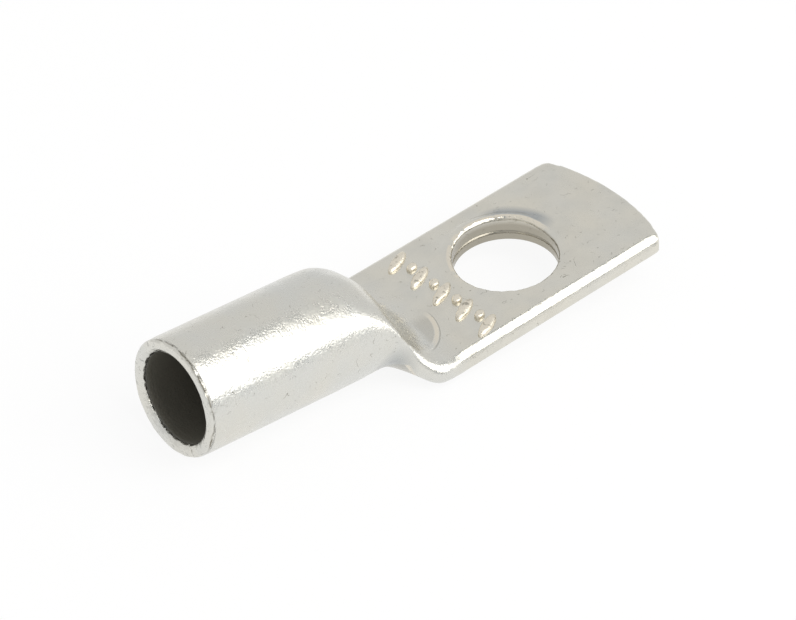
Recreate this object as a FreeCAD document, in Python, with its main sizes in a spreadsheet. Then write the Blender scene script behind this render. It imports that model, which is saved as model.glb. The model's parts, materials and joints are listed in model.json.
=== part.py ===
import FreeCAD, Part
import math
import os
import Sketcher

# Tinned copper tube lug: one length of copper tube, left round at one end to take a cable and pressed
# flat at the other into a palm with a hole for a stud. The tube's axis runs along X from the mouth, at the
# origin, and the palm rises slightly from it. Z is up and Y is across.

NODE = "tube_lug"

# Driving sizes, in millimetres and degrees
SIZES = [
    ("barrel_diameter", 7.5, "outside of the round tube"),
    ("bore_diameter", 5.7, "inside of the round tube"),
    ("crimp_length", 11.2, "mouth to where the crown starts to fall"),
    ("shoulder_length", 7.8, "fall of the crown from the tube to the palm"),
    ("hole_setback", 7.35, "foot of the shoulder to the stud hole's centre"),
    ("tip_setback", 9.2, "stud hole's centre to the tip"),
    ("palm_width", 11.1, "across the pressed palm"),
    ("palm_thickness", 1.5, "both walls pressed together"),
    ("coin_step", 0.03, "depth to which the palm is coined below the foot of the shoulder"),
    ("palm_lift", 0.15, "palm's underside above the tube's"),
    ("palm_rise", 6.8, "slope of the palm, in degrees"),
    ("stud_hole_diameter", 6.6, "clears an M6 stud"),
    ("hole_rim_round", 0.25, "rolled edge on the stud hole's punched side"),
    ("tip_radius", 13.8, "convex end of the palm"),
    ("tip_corner_radius", 0.75, "corners of the palm's end"),
    ("seam_width", 0.10, "gap between the two walls where the tip is cropped"),
    ("seam_depth", 0.12, "how deep the gap goes"),
    ("mouth_bevel", 0.18, "outer edge of the mouth"),
    ("bore_bevel", 0.28, "inner edge of the mouth"),
    ("pinch_gap", 0.16, "narrowest part of the hollow before the walls meet"),
]

# The press works along the shoulder, from 0 at its top to 1 at its foot. Each part of the tube's section
# falls and spreads between two places there, named from the underside round the side up to the crown. The
# crown comes down last, as a blunt tongue that widens early, and its flanks widen after it. The underside
# flattens half way, where the sides spread into the heels.
UNDER_FALL = (0.35, 0.76)
LOWER_SIDE_FALL = (0.22, 0.77)
SIDE_FALL = (0.10, 0.77)
UPPER_SIDE_FALL = (0.11, 0.70)
BROW_FALL = (0.0, 0.77)
FLANK_FALL = (0.0, 0.93)
CROWN_FALL = (0.0, 1.0)
SIDE_SPREAD = (0.37, 0.69)
BROW_SPREAD = (0.16, 0.51)
FLANK_SPREAD = (0.40, 0.92)
UNDER_LIFT = (0.0, 0.48)
BEND_START = 0.48
SECTION_COUNT = 14

# The hollow follows the crown down until the walls meet: share of the shoulder, and of the bore's width
HOLLOW_CLOSING = (0.0, 0.74)
HOLLOW_SECTIONS = [(0.12, 1.0), (0.3, 1.03), (0.48, 1.02), (0.64, 0.94), (0.78, 0.8)]

# Every section of the shoulder is one closed curve on 16 poles. On a circle they stand a little outside it.
POLE_COUNT = 16
POLE_STEP = 360.0 / POLE_COUNT
POLE_REACH = 3.0 / (2.0 + math.cos(math.radians(POLE_STEP)))
SPREAD = [SIDE_SPREAD] * 6 + [BROW_SPREAD, FLANK_SPREAD, BROW_SPREAD]
FALL = [UNDER_FALL] * 3
FALL += [LOWER_SIDE_FALL, SIDE_FALL, UPPER_SIDE_FALL, BROW_FALL, FLANK_FALL, CROWN_FALL]

# The same poles at the foot: shares of the palm's width or thickness that shape the flats and the folds
FLAT_POLE = 0.30
FOLD_FIRST_POLE = 0.64
FOLD_KNEE_POLE = 0.20
FOLD_SIDE_POLE = 0.10
HALF_WIDTH = "(Sizes.palm_width / 2)"
THICKNESS = "Sizes.palm_thickness"
FOOT_HALF_WIDTH = f"({HALF_WIDTH} + Sizes.coin_step)"
FOOT_POLES_ACROSS = [
    "0",
    f"Sizes.palm_width * {FLAT_POLE}",
    f"{FOOT_HALF_WIDTH} - {THICKNESS} * {FOLD_FIRST_POLE}",
    f"{FOOT_HALF_WIDTH} - {THICKNESS} * {FOLD_KNEE_POLE}",
    f"{FOOT_HALF_WIDTH} + {THICKNESS} * {FOLD_SIDE_POLE}",
]
FOOT_POLES_ACROSS += FOOT_POLES_ACROSS[3::-1]
FOOT_POLES_UP = ["-Sizes.coin_step"] * 4 + [f"{THICKNESS} / 2"] + [f"{THICKNESS} + Sizes.coin_step"] * 4

# The underside runs level below the tube, bends up on an arc under the shoulder and then runs straight
RISE = "(Sizes.palm_rise * 1 deg)"
BEND_LENGTH = f"(Sizes.shoulder_length * {1.0 - BEND_START:.5f})"
BEND_RADIUS = f"({BEND_LENGTH} * 180 / (pi * Sizes.palm_rise))"
BEND_AT = f"(Sizes.crimp_length + Sizes.shoulder_length * {BEND_START:.5f})"
BOTTOM = "(Sizes.barrel_diameter / 2)"
FOOT_X = f"({BEND_AT} + {BEND_RADIUS} * sin({RISE}))"
FOOT_Z = f"({BEND_RADIUS} * (1 - cos({RISE})) + Sizes.palm_lift - {BOTTOM})"
PALM_LENGTH = "(Sizes.hole_setback + Sizes.tip_setback)"
TIP_CENTRE = f"({PALM_LENGTH} - Sizes.tip_radius)"

# Cutting shapes run this far past what they cut
OVERSHOOT = 1.5
SEAM_TURN = 60

# Edges to finish are found by where the points on them lie
EDGE_SAMPLES = 6
NEARLY = 0.01

NORMAL = FreeCAD.Vector(0, 0, 1)

doc = FreeCAD.newDocument("TubeLug")
sheet = doc.addObject("Spreadsheet::Sheet", "Sizes")
for row, (alias, value, meaning) in enumerate(SIZES, start=1):
    sheet.set(f"A{row}", alias)
    sheet.set(f"B{row}", str(value))
    sheet.set(f"C{row}", meaning)
    sheet.setAlias(f"B{row}", alias)
doc.recompute()
body = doc.addObject("PartDesign::Body", NODE)
body.Label = NODE


def value_of(expression):
    """Number that an expression on the sheet's cells comes to."""
    return float(sheet.evalExpression(expression))


def ease(place, start, end):
    """Share from 0 to 1, slow at the start and at the end."""
    share = min(max((place - start) / (end - start), 0.0), 1.0)
    return share**2 / (share**2 + (1.0 - share) ** 2)


def between(first, last, share):
    """Expression that is first at share 0 and last at share 1."""
    return f"({first}) + (({last}) - ({first})) * {share:.5f}"


def origin_plane(role):
    """One of the body's own origin planes."""
    return next(feature for feature in body.Origin.OriginFeatures if feature.Role == role)


def new_sketch(name, role):
    """Sketch of the body on one of its origin planes."""
    sketch = body.newObject("Sketcher::SketchObject", name)
    sketch.AttachmentSupport = (origin_plane(role), [""])
    sketch.MapMode = "FlatFace"
    return sketch


def move_sketch(sketch, axis, angle, **offsets):
    """Turn a sketch about an axis of its plane and shift it, each by an expression."""
    base = FreeCAD.Vector(*(value_of(offsets.get(side, "0")) for side in "xyz"))
    sketch.AttachmentOffset = FreeCAD.Placement(base, FreeCAD.Rotation(axis, 1))
    for side, offset in offsets.items():
        sketch.setExpression(f"AttachmentOffset.Base.{side}", offset)
    sketch.setExpression("AttachmentOffset.Rotation.Angle", angle)


def bind(sketch, constraint, expression):
    """Add a constraint whose value follows an expression."""
    index = sketch.addConstraint(constraint)
    sketch.setExpression(f"Constraints[{index}]", expression)


def place_point(sketch, geometry, position, across, upward):
    """Hold a point of the sketch at two distances from its origin."""
    bind(sketch, Sketcher.Constraint("DistanceX", -1, 1, geometry, position, value_of(across)), across)
    bind(sketch, Sketcher.Constraint("DistanceY", -1, 1, geometry, position, value_of(upward)), upward)


def place_section(sketch, place):
    """Stand a section across the underside, at a share of the shoulder."""
    turned = max(place - BEND_START, 0.0) / (1.0 - BEND_START)
    angle = f"({RISE} * {turned:.5f})"
    along = f"Sizes.crimp_length + Sizes.shoulder_length * {place:.5f}"
    height = f"Sizes.palm_lift * {ease(place, *UNDER_LIFT):.5f} - {BOTTOM}"
    if turned > 0.0:
        along = f"{BEND_AT} + {BEND_RADIUS} * sin({angle})"
        height = f"{BEND_RADIUS} * (1 - cos({angle})) + Sizes.palm_lift - {BOTTOM}"
    move_sketch(sketch, FreeCAD.Vector(-1, 0, 0), angle, y=height, z=along)


def section_poles(place):
    """Poles of a section, as expressions for across and up from the underside."""
    half = []
    for index, (flat_across, flat_up) in enumerate(zip(FOOT_POLES_ACROSS, FOOT_POLES_UP)):
        angle = math.radians(index * POLE_STEP - 90.0)
        round_across = f"Sizes.barrel_diameter * {0.5 * POLE_REACH * math.cos(angle):.6f}"
        round_up = f"Sizes.barrel_diameter * {0.5 + 0.5 * POLE_REACH * math.sin(angle):.6f}"
        across = between(round_across, flat_across, ease(place, *SPREAD[index]))
        upward = between(round_up, flat_up, ease(place, *FALL[index]))
        half.append((across, upward))
    return half + [(f"-({across})", upward) for across, upward in half[-2:0:-1]]


def tube_section(place):
    """Outside of the tube at a share of the shoulder, as a closed curve."""
    poles = section_poles(place)
    sketch = new_sketch(f"section_{round(place * 100):03d}", "YZ_Plane")
    place_section(sketch, place)
    curve = Part.BSplineCurve()
    curve.buildFromPoles([FreeCAD.Vector(value_of(across), value_of(up), 0) for across, up in poles], True, 3)
    outline = sketch.addGeometry(curve, False)
    sketch.exposeInternalGeometry(outline)
    for pole, (across, upward) in enumerate(poles, start=outline + 1):
        place_point(sketch, pole, 3, across, upward)
    return sketch


def palm_section():
    """Slot of two flats and two round folds, which the palm keeps to its tip."""
    sketch = new_sketch("palm_section", "YZ_Plane")
    place_section(sketch, 1.0)
    radius = value_of(THICKNESS) / 2
    reach = value_of(HALF_WIDTH) - radius
    right_circle = Part.Circle(FreeCAD.Vector(reach, radius, 0), NORMAL, radius)
    left_circle = Part.Circle(FreeCAD.Vector(-reach, radius, 0), NORMAL, radius)
    pieces = [
        Part.LineSegment(FreeCAD.Vector(-reach, 0, 0), FreeCAD.Vector(reach, 0, 0)),
        Part.ArcOfCircle(right_circle, -math.pi / 2, math.pi / 2),
        Part.LineSegment(FreeCAD.Vector(reach, 2 * radius, 0), FreeCAD.Vector(-reach, 2 * radius, 0)),
        Part.ArcOfCircle(left_circle, math.pi / 2, 3 * math.pi / 2),
    ]
    underside, right_fold, top, left_fold = sketch.addGeometry(pieces, False)
    ring = [underside, right_fold, top, left_fold, underside]
    for first, second in zip(ring, ring[1:]):
        sketch.addConstraint(Sketcher.Constraint("Tangent", first, 2, second, 1))
    sketch.addConstraint(Sketcher.Constraint("Horizontal", underside))
    sketch.addConstraint(Sketcher.Constraint("Symmetric", underside, 1, underside, 2, -1, 1))
    bind(sketch, Sketcher.Constraint("DistanceY", -1, 1, top, 1, 2 * radius), THICKNESS)
    flat = Sketcher.Constraint("DistanceX", underside, 1, underside, 2, 2 * reach)
    bind(sketch, flat, f"Sizes.palm_width - {THICKNESS}")
    return sketch


def pad(name, profile, length, reverse=False):
    """Straight extrusion of a section."""
    feature = body.newObject("PartDesign::Pad", name)
    feature.Profile = profile
    feature.Reversed = reverse
    feature.setExpression("Length", length)


def loft(kind, name, sections):
    """Smooth loft through sections in order."""
    feature = body.newObject(f"PartDesign::{kind}", name)
    feature.Profile = sections[0]
    feature.Sections = sections[1:]
    feature.Ruled = False


def make_tube():
    """Solid outside of the tube: round barrel, pressed shoulder and palm."""
    sections = [tube_section(number / (SECTION_COUNT - 1)) for number in range(SECTION_COUNT)]
    pad("barrel", sections[0], "Sizes.crimp_length", reverse=True)
    loft("AdditiveLoft", "shoulder", sections)
    pad("palm", palm_section(), f"{PALM_LENGTH} + {OVERSHOOT} / 2")


def palm_sketch(name, along="0"):
    """Sketch on the palm's underside, with x to the tip from a distance past the foot and y across."""
    sketch = new_sketch(name, "XY_Plane")
    forward = f"{FOOT_X} + ({along}) * cos({RISE})"
    upward = f"{FOOT_Z} + ({along}) * sin({RISE})"
    move_sketch(sketch, FreeCAD.Vector(0, -1, 0), RISE, x=forward, z=upward)
    return sketch


def cut_through(name, profile):
    """Pocket that runs through the palm both ways from its underside."""
    feature = body.newObject("PartDesign::Pocket", name)
    feature.Profile = profile
    feature.Midplane = True
    feature.Type = "Length"
    feature.setExpression("Length", f"{THICKNESS} * 4")


def make_tip():
    """Crop the palm's end to a shallow arc with small round corners."""
    sketch = palm_sketch("tip_outline")
    tip = value_of(PALM_LENGTH)
    radius = value_of("Sizes.tip_radius")
    corner = value_of("Sizes.tip_corner_radius")
    side = value_of(HALF_WIDTH)
    centre = FreeCAD.Vector(tip - radius, 0, 0)
    reach = math.sqrt((radius - corner) ** 2 - (side - corner) ** 2)
    lean = math.atan2(side - corner, reach)
    far_centre = FreeCAD.Vector(centre.x + reach, side - corner, 0)
    near_centre = FreeCAD.Vector(centre.x + reach, corner - side, 0)
    end = tip + OVERSHOOT
    outside = side + OVERSHOOT
    arcs = [
        Part.ArcOfCircle(Part.Circle(centre, NORMAL, radius), -lean, lean),
        Part.ArcOfCircle(Part.Circle(far_centre, NORMAL, corner), lean, math.pi / 2),
        Part.ArcOfCircle(Part.Circle(near_centre, NORMAL, corner), -math.pi / 2, -lean),
    ]
    corners = [
        FreeCAD.Vector(far_centre.x, side, 0),
        FreeCAD.Vector(far_centre.x, outside, 0),
        FreeCAD.Vector(end, outside, 0),
        FreeCAD.Vector(end, -outside, 0),
        FreeCAD.Vector(near_centre.x, -outside, 0),
        FreeCAD.Vector(near_centre.x, -side, 0),
    ]
    lines = [Part.LineSegment(first, second) for first, second in zip(corners, corners[1:])]
    crest, far_corner, near_corner, *walls = sketch.addGeometry(arcs + lines, False)
    far_side, far_edge, back, near_edge, near_side = walls
    joints = [
        (crest, 1, near_corner, 2),
        (far_corner, 2, far_side, 1),
        (far_side, 2, far_edge, 1),
        (far_edge, 2, back, 1),
        (back, 2, near_edge, 1),
        (near_edge, 2, near_side, 1),
        (near_side, 2, near_corner, 1),
    ]
    mirrored = [
        (crest, 1, crest, 2),
        (far_corner, 2, near_corner, 1),
        (far_side, 2, near_side, 1),
        (back, 1, back, 2),
    ]
    sketch.addConstraint(Sketcher.Constraint("Tangent", crest, 2, far_corner, 1))
    for joint in joints:
        sketch.addConstraint(Sketcher.Constraint("Coincident", *joint))
    for pair in mirrored:
        sketch.addConstraint(Sketcher.Constraint("Symmetric", *pair, -1))
    sketch.addConstraint(Sketcher.Constraint("Equal", far_corner, near_corner))
    sketch.addConstraint(Sketcher.Constraint("Vertical", far_corner, 3, far_corner, 2))
    sketch.addConstraint(Sketcher.Constraint("Vertical", far_side))
    sketch.addConstraint(Sketcher.Constraint("Horizontal", far_edge))
    bind(sketch, Sketcher.Constraint("DistanceX", -1, 1, crest, 3, centre.x), TIP_CENTRE)
    bind(sketch, Sketcher.Constraint("Radius", crest, radius), "Sizes.tip_radius")
    bind(sketch, Sketcher.Constraint("Radius", far_corner, corner), "Sizes.tip_corner_radius")
    bind(sketch, Sketcher.Constraint("DistanceY", -1, 1, far_corner, 2, side), HALF_WIDTH)
    bind(sketch, Sketcher.Constraint("DistanceY", -1, 1, far_side, 2, outside), f"{HALF_WIDTH} + {OVERSHOOT}")
    bind(sketch, Sketcher.Constraint("DistanceX", -1, 1, far_edge, 2, end), f"{PALM_LENGTH} + {OVERSHOOT}")
    cut_through("tip", sketch)


def make_seam():
    """Fine gap across the tip, where the two pressed walls show their joint."""
    sketch = new_sketch("seam_profile", "XZ_Plane")
    forward = f"{FOOT_X} + {TIP_CENTRE} * cos({RISE})"
    upward = f"{FOOT_Z} + {TIP_CENTRE} * sin({RISE})"
    move_sketch(sketch, NORMAL, RISE, x=forward, y=upward)
    inner = "Sizes.tip_radius - Sizes.seam_depth"
    outer = "Sizes.tip_radius + Sizes.seam_depth"
    middle = f"{THICKNESS} / 2"
    upper = f"{middle} + Sizes.seam_width"
    lower = f"{middle} - Sizes.seam_width"
    corners = [(inner, middle), (outer, upper), (outer, lower)]
    points = [FreeCAD.Vector(value_of(along), value_of(up), 0) for along, up in corners]
    lines = [Part.LineSegment(first, second) for first, second in zip(points, points[1:] + points[:1])]
    sides = list(sketch.addGeometry(lines, False))
    for first, second in zip(sides, sides[1:] + sides[:1]):
        sketch.addConstraint(Sketcher.Constraint("Coincident", first, 2, second, 1))
    for side, (along, up) in zip(sides, corners):
        place_point(sketch, side, 1, along, up)
    feature = body.newObject("PartDesign::Groove", "seam")
    feature.Profile = sketch
    feature.ReferenceAxis = (sketch, ["V_Axis"])
    feature.Midplane = True
    feature.Angle = SEAM_TURN


def circle_sketch(sketch, diameter):
    """One circle round the sketch's origin."""
    ring = sketch.addGeometry(Part.Circle(FreeCAD.Vector(), NORMAL, value_of(diameter) / 2), False)
    sketch.addConstraint(Sketcher.Constraint("Coincident", ring, 3, -1, 1))
    bind(sketch, Sketcher.Constraint("Diameter", ring, value_of(diameter)), diameter)
    return sketch


def make_bore():
    """Round bore from the mouth to the shoulder."""
    feature = body.newObject("PartDesign::Pocket", "bore")
    feature.Profile = circle_sketch(new_sketch("bore_circle", "YZ_Plane"), "Sizes.bore_diameter")
    feature.Reversed = True
    feature.setExpression("Length", "Sizes.crimp_length")


def hollow_section(place, half_width, half_height, middle):
    """Ellipse across the hollow at a share of the shoulder, its middle at a height above the underside."""
    sketch = new_sketch(f"hollow_{round(place * 100):03d}", "YZ_Plane")
    place_section(sketch, place)
    centre = FreeCAD.Vector(0, value_of(middle), 0)
    across = FreeCAD.Vector(value_of(half_width), 0, 0)
    upward = FreeCAD.Vector(0, value_of(half_height), 0)
    ellipse = sketch.addGeometry(Part.Ellipse(centre + across, centre + upward, centre), False)
    sketch.exposeInternalGeometry(ellipse)
    major_axis, minor_axis = ellipse + 1, ellipse + 2
    place_point(sketch, ellipse, 3, "0", middle)
    sketch.addConstraint(Sketcher.Constraint("Horizontal", major_axis))
    bind(sketch, Sketcher.Constraint("DistanceX", ellipse, 3, major_axis, 1, across.x), half_width)
    bind(sketch, Sketcher.Constraint("DistanceY", ellipse, 3, minor_axis, 1, upward.y), half_height)
    return sketch


def make_hollow():
    """Hollow past the bore, which closes as the walls come together."""
    wall = "(Sizes.barrel_diameter - Sizes.bore_diameter) / 2"
    start = circle_sketch(new_sketch("hollow_start", "YZ_Plane"), "Sizes.bore_diameter")
    move_sketch(start, NORMAL, "0", z="Sizes.crimp_length")
    sections = [start]
    for place, width_share in HOLLOW_SECTIONS:
        closed = ease(place, *HOLLOW_CLOSING)
        half_height = between("Sizes.bore_diameter / 2", "Sizes.pinch_gap / 2", closed)
        half_width = f"Sizes.bore_diameter / 2 * {width_share}"
        middle = f"{wall} + {half_height}"
        sections.append(hollow_section(place, half_width, half_height, middle))
    loft("SubtractiveLoft", "hollow", sections)


def make_stud_hole():
    """Hole for the stud, square to the palm."""
    sketch = palm_sketch("stud_hole_circle", "Sizes.hole_setback")
    cut_through("stud_hole", circle_sketch(sketch, "Sizes.stud_hole_diameter"))


def on_palm(point):
    """Place of a point along, across and above the palm's underside, from the foot of the shoulder."""
    slope = math.radians(value_of("Sizes.palm_rise"))
    along = FreeCAD.Vector(math.cos(slope), 0, math.sin(slope))
    above = FreeCAD.Vector(-math.sin(slope), 0, math.cos(slope))
    offset = point - FreeCAD.Vector(value_of(FOOT_X), 0, value_of(FOOT_Z))
    return offset.dot(along), offset.y, offset.dot(above)


def soften(kind, name, size_name, size, chosen):
    """Round or bevel the edges whose every point passes a test."""
    doc.recompute()
    base = body.Tip
    edges = [
        f"Edge{number}"
        for number, edge in enumerate(base.Shape.Edges, start=1)
        if all(chosen(point) for point in edge.discretize(EDGE_SAMPLES))
    ]
    if not edges:
        raise RuntimeError(f"{name} finds no edge")
    feature = body.newObject(f"PartDesign::{kind}", name)
    feature.Base = (base, edges)
    feature.setExpression(size_name, size)


def finish_edges():
    """Bevel the mouth's two edges and round the stud hole's punched side."""
    wall_middle = value_of("(Sizes.barrel_diameter + Sizes.bore_diameter) / 4")
    hole_radius = value_of("Sizes.stud_hole_diameter / 2")
    hole_centre = value_of("Sizes.hole_setback")
    half_thickness = value_of(f"{THICKNESS} / 2")

    def mouth_outside(point):
        return point.x < NEARLY and math.hypot(point.y, point.z) > wall_middle

    def mouth_inside(point):
        return point.x < NEARLY and math.hypot(point.y, point.z) < wall_middle

    def hole_top(point):
        along, across, above = on_palm(point)
        on_wall = abs(math.hypot(along - hole_centre, across) - hole_radius) < NEARLY
        return on_wall and above > half_thickness

    soften("Chamfer", "mouth_edge", "Size", "Sizes.mouth_bevel", mouth_outside)
    soften("Chamfer", "bore_edge", "Size", "Sizes.bore_bevel", mouth_inside)
    soften("Fillet", "hole_edge", "Radius", "Sizes.hole_rim_round", hole_top)


def check_document():
    """Stop if any object failed or the lug's shape is null or invalid."""
    for item in doc.Objects:
        if "Invalid" in item.State or "Error" in item.State:
            raise RuntimeError(f"{item.Name} failed: {item.State}")
    if body.Shape.isNull() or not body.Shape.isValid():
        raise RuntimeError(f"{body.Label} has no valid shape")


make_tube()
make_tip()
make_seam()
make_bore()
make_hollow()
make_stud_hole()
finish_edges()
doc.recompute()
check_document()
os.makedirs("parts", exist_ok=True)
body.Shape.exportStep(f"parts/{body.Label}.step")
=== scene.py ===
"""The looks of a tinned copper tube lug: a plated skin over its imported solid, in a plain studio.

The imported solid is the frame. The skin is worked from a merged copy of it, which is smoothed, trued and given
the press's marks. The mouth and the stud hole get edges turned in one piece, and raised marks stand on the
palm.
"""

import json
import math
from types import SimpleNamespace

import bpy
from bpy.props import FloatProperty, IntProperty, PointerProperty, StringProperty
from mathutils import Matrix, Vector, noise


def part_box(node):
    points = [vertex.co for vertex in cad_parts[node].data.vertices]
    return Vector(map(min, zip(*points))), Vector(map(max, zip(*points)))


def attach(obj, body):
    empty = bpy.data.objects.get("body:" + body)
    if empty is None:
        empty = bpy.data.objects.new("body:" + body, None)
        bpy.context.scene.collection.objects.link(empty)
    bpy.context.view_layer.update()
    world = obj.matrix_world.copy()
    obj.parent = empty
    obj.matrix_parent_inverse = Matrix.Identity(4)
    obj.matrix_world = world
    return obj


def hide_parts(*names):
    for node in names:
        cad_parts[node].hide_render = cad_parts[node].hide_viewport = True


bl_info = {
    "name": "Tinned Tube Lug",
    "version": (1, 0, 0),
    "blender": (4, 5, 0),
    "location": "3D View > Sidebar > Tube Lug",
    "description": "Dresses a lug pressed from copper tube and sets it in a plain studio",
    "category": "Object",
}

MM = 0.001

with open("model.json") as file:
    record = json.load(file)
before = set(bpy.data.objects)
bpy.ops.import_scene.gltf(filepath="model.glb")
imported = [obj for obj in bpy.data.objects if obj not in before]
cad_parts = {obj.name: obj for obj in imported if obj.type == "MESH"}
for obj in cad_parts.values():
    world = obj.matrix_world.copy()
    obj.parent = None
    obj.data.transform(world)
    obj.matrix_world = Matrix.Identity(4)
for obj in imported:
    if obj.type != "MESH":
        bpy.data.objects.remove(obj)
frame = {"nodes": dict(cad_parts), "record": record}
SOLID = frame["nodes"]["tube_lug"]
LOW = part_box("tube_lug")[0]
MOUNTS = {mount["name"]: mount for mount in frame["record"]["mounts"]}
BARREL_RADIUS = -LOW.z
BORE_RADIUS = MOUNTS["barrel_bore"]["dims"]["r_mm"] * MM
BORE_DEPTH = MOUNTS["barrel_bore"]["dims"]["length_mm"] * MM
WALL_MIDDLE = (BARREL_RADIUS + BORE_RADIUS) / 2
HOLE_RADIUS = MOUNTS["stud_hole"]["dims"]["r_mm"] * MM
PALM_UP = Vector(MOUNTS["palm_top"]["axis"])
PALM_ALONG = Vector((PALM_UP.z, 0, -PALM_UP.x))
PALM_TOP = Vector(MOUNTS["palm_top"]["pos_m"])
PALM_UNDERSIDE = Vector(MOUNTS["palm_underside"]["pos_m"])
HALF_PALM = (PALM_TOP - PALM_UNDERSIDE).dot(PALM_UP) / MM / 2
HOLE_MIDDLE = Vector(MOUNTS["stud_hole"]["pos_m"])
HOLE_TOP = HOLE_MIDDLE + PALM_UP * (PALM_TOP - HOLE_MIDDLE).dot(PALM_UP)

# Places on the solid, in millimetres: along the tube's axis, or from the stud hole's centre along the palm
SHOULDER_TOP = 11.2
PALM_FOOT = -7.35
FOLD_AXIS = 4.8
TIP_CORNER = 8.2

# Where the tongue meets the palm on the near side, the round press's crescent beside it and a nick on the far
# side, each place along the palm and across it
TONGUE_FOOT = [(-8.3, 0.0), (-8.34, -0.48), (-8.63, -1.37), (-9.03, -2.13), (-9.93, -3.35), (-10.6, -4.5)]
CRESCENT_MIDDLE = (-10.6, -0.6)
CRESCENT_RADIUS = 3.38
NICK = [(-7.43, 1.99), (-7.11, 1.33)]

# The near fold's pressed section: a slope that sets in gently, a blunt corner and a steep side. Each point
# has its length round the solid's half round, then its place outward from the fold's axis and above
# mid-thickness
FOLD_PROFILE = [
    (-0.25, (-0.25, 0.75)),
    (-0.05, (-0.05, 0.742)),
    (0.1, (0.095, 0.7)),
    (0.25, (0.235, 0.622)),
    (0.45, (0.42, 0.475)),
    (0.57, (0.5, 0.39)),
    (0.95, (0.62, 0.07)),
    (1.475, (0.692, -0.29)),
]

# How far off the palm's planes and rounds a point may lie and still be set on them
FLAT_CATCH = 0.03
ROUND_CATCH = 0.1
PRESSED_CATCH = 0.15

# The raised marks stand in a row across the palm, a pip between every two ribs, all turned alike
RIB_COUNT = 5
RIB_SPACING = 2.1
FIRST_RIB_ACROSS = 4.1
RIB_ALONG = -5.3
RIB_SIZE = (2.2, 0.7)
PIP_ALONG = -5.0
PIP_SIZE = (0.8, 0.6)
MARK_TURN = math.radians(24)
MARK_WANDER = 0.05

# Steps round each turned edge
EDGE_SEGMENTS = 288


# Settings that a user would change


class LugSkinSettings(bpy.types.PropertyGroup):
    grain: FloatProperty(
        name="Skin grain",
        description="Edge length of the skin's cells",
        default=0.123 * MM,
        min=0.1 * MM,
        subtype="DISTANCE",
        unit="LENGTH",
    )
    tube_easing: IntProperty(
        name="Tube easing",
        description="Smoothing rounds over the barrel and the pressed shoulder",
        default=18,
        min=0,
    )
    edge_easing: IntProperty(
        name="Edge easing",
        description="Smoothing rounds over every edge",
        default=4,
        min=0,
    )
    foot_easing: IntProperty(
        name="Foot easing",
        description="Smoothing rounds where the tongue runs out into the palm",
        default=90,
        min=0,
    )
    tip_easing: IntProperty(
        name="Tip easing",
        description="Smoothing rounds over the palm's sheared end",
        default=22,
        min=0,
    )
    crown_sag: FloatProperty(
        name="Crown sag",
        description="How far the barrel's crown has been drawn down where the pressed shoulder begins",
        default=0.32 * MM,
        min=0,
        subtype="DISTANCE",
        unit="LENGTH",
    )
    crescent_height: FloatProperty(
        name="Crescent height",
        description="Height of the ridge that the press left at the tongue's foot",
        default=0.12 * MM,
        min=0,
        subtype="DISTANCE",
        unit="LENGTH",
    )
    rim_lip: FloatProperty(
        name="Rim lip",
        description="Height of the lip that the punch raised round the hole's far side",
        default=0.32 * MM,
        min=0,
        subtype="DISTANCE",
        unit="LENGTH",
    )
    mark_height: FloatProperty(
        name="Mark height",
        description="Height of the raised ribs and pips on the palm",
        default=0.28 * MM,
        min=0,
        subtype="DISTANCE",
        unit="LENGTH",
    )


class TinSettings(bpy.types.PropertyGroup):
    warm_tin: StringProperty(
        name="Warm tin",
        description="Warmer tone of the tin plate, as sRGB hex",
        default="E0DCD0",
    )
    cool_tin: StringProperty(
        name="Cool tin",
        description="Cooler tone of the tin plate, as sRGB hex",
        default="DADAD5",
    )
    # Wear tone, also used as painted shade at the mouth's burr line and beside the press's crescent
    wear_and_shade_tin: StringProperty(
        name="Worn tin",
        description="Tone of pits, scratches and rubbed lines, as sRGB hex",
        default="8E8A7E",
    )
    # Bluish tone painted as reflection behind the hole's lip and as shade in the neck, and for the palm's faint
    # clouds
    bluish_shade_and_cloud_tin: StringProperty(
        name="Shaded tin",
        description="Bluish tone of the plate in folds and on steep slopes, as sRGB hex",
        default="AEB1B1",
    )
    # Darker tone painted as shade on the stud hole's wall and inside the press's crescent
    dark_shade_tin: StringProperty(
        name="Cut tin",
        description="Tone of the thin plate in the stud hole's punched wall, as sRGB hex",
        default="A9A497",
    )
    # Pale tone of the rubbed raised marks, also used as a painted highlight on the crescent's ridge and the
    # lip's inner edge
    pale_tin: StringProperty(
        name="Rubbed tin",
        description="Paler warm tone where the press has rubbed the plate, as sRGB hex",
        default="E8E1D2",
    )
    # Dark colour inside the barrel: the bore's duller metal, partly painted shade
    bore_and_shade_colour: StringProperty(
        name="Bore colour",
        description="Colour of the dull metal inside the barrel, as sRGB hex",
        default="6B685E",
    )
    plate_roughness: FloatProperty(
        name="Tin roughness",
        description="Roughness of the plated surface",
        default=0.24,
        min=0,
        max=1,
        subtype="FACTOR",
    )
    grain_depth: FloatProperty(
        name="Grain depth",
        description="Depth of the plate's grain",
        default=0.017 * MM,
        min=0,
        subtype="DISTANCE",
        unit="LENGTH",
    )


class StudioSettings(bpy.types.PropertyGroup):
    room_level: FloatProperty(
        name="Room level",
        description="Brightness of the white tent round the lug",
        default=0.78,
        min=0,
    )
    window_power: FloatProperty(
        name="Window power",
        description="Power of the softbox at the front right",
        default=3.5,
        min=0,
        unit="POWER",
    )
    side_power: FloatProperty(
        name="Side window power",
        description="Power of the narrower softbox beside it",
        default=2.6,
        min=0,
        unit="POWER",
    )
    floor_lift: FloatProperty(
        name="Floor lift",
        description="Share of the floor's brightness that is its own",
        default=0.88,
        min=0,
        max=1,
        subtype="FACTOR",
    )


# Small tools


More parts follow.
